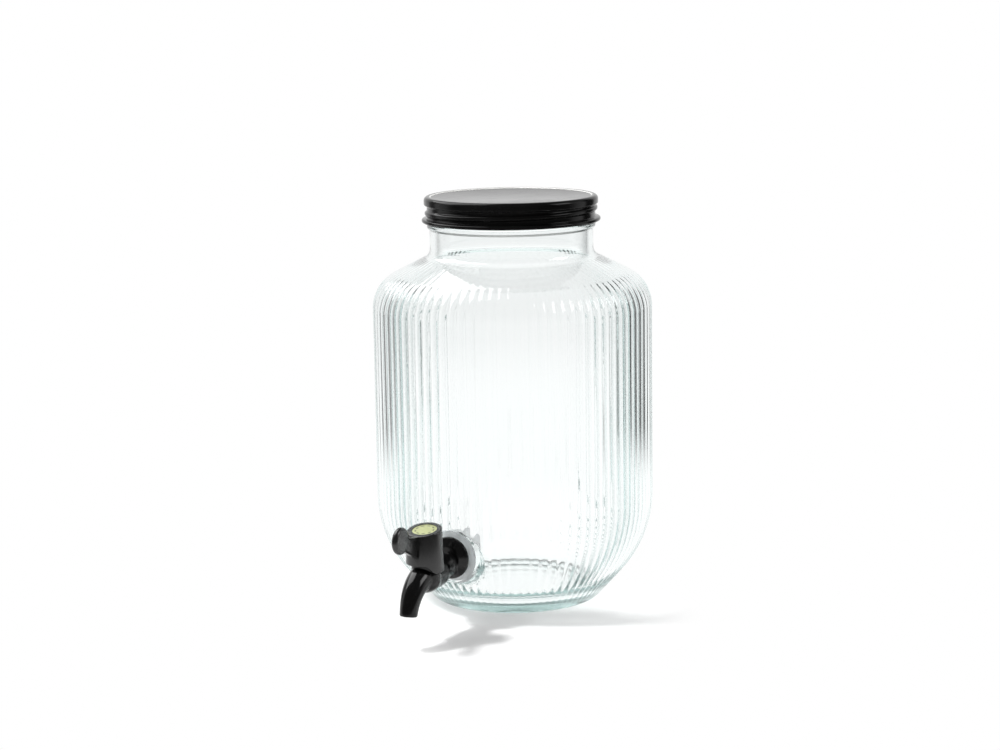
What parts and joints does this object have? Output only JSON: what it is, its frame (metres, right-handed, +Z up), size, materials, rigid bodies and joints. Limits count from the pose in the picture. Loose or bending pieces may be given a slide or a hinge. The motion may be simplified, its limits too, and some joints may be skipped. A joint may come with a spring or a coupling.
{
  "type": "glass beverage dispenser",
  "caption": "Wide-mouth ribbed glass drink jar with a black screw lid and a quarter-turn plastic tap clamped in a boss low on its front.",
  "frame": {"origin": "centre of the jar's flat foot, on the surface that it stands on", "axes": "+Z up along the jar's axis, -Y forward along the tap, +X to the right of a person who looks along +Y at the tap"},
  "size_m": [0.1738, 0.2433, 0.2525],
  "materials": {
    "jar_glass": "clear pressed glass with vertical ribs, faint green in the thick base",
    "lid_black": "black lacquered sheet steel, satin",
    "liner_white": "soft sealing compound",
    "tap_black": "black moulded plastic, glossy",
    "washer_white": "soft silicone",
    "nut_white": "white moulded plastic",
    "plug_white": "natural moulded plastic",
    "ring_black": "soft rubber",
    "badge_gold": "pale gold foil disc, bare"
  },
  "bodies": {
    "jar": {"glass_jar": "jar_glass", "tap_body": "tap_black", "outer_washer": "washer_white", "inner_washer": "washer_white", "lock_nut": "nut_white"},
    "lid_seal": {"lid_liner": "liner_white"},
    "lid": {"lid_shell": "lid_black"},
    "handle": {"tap_handle": "tap_black", "badge_disc": "badge_gold", "valve_plug": "plug_white", "upper_o_ring": "ring_black", "lower_o_ring": "ring_black"}
  },
  "joints": [
    {"name": "lid_lift", "type": "slide", "parent": "jar", "child": "lid_seal", "axis": [0, 0, 1], "range_m": [0, 0.0166]},
    {"name": "lid_turn", "type": "hinge", "parent": "lid_seal", "child": "lid", "pos_m": [0, 0, 0.2445], "axis": [0, 0, 1], "range_deg": [0, 1170]},
    {"name": "tap_turn", "type": "hinge", "parent": "jar", "child": "handle", "pos_m": [0, -0.1195, 0.0575], "axis": [0, 0, 1], "range_deg": [0, 90]}
  ],
  "couplings": [
    {"joint": "lid_lift", "follows": "lid_turn", "m_per_rad": 0.00080851}
  ]
}
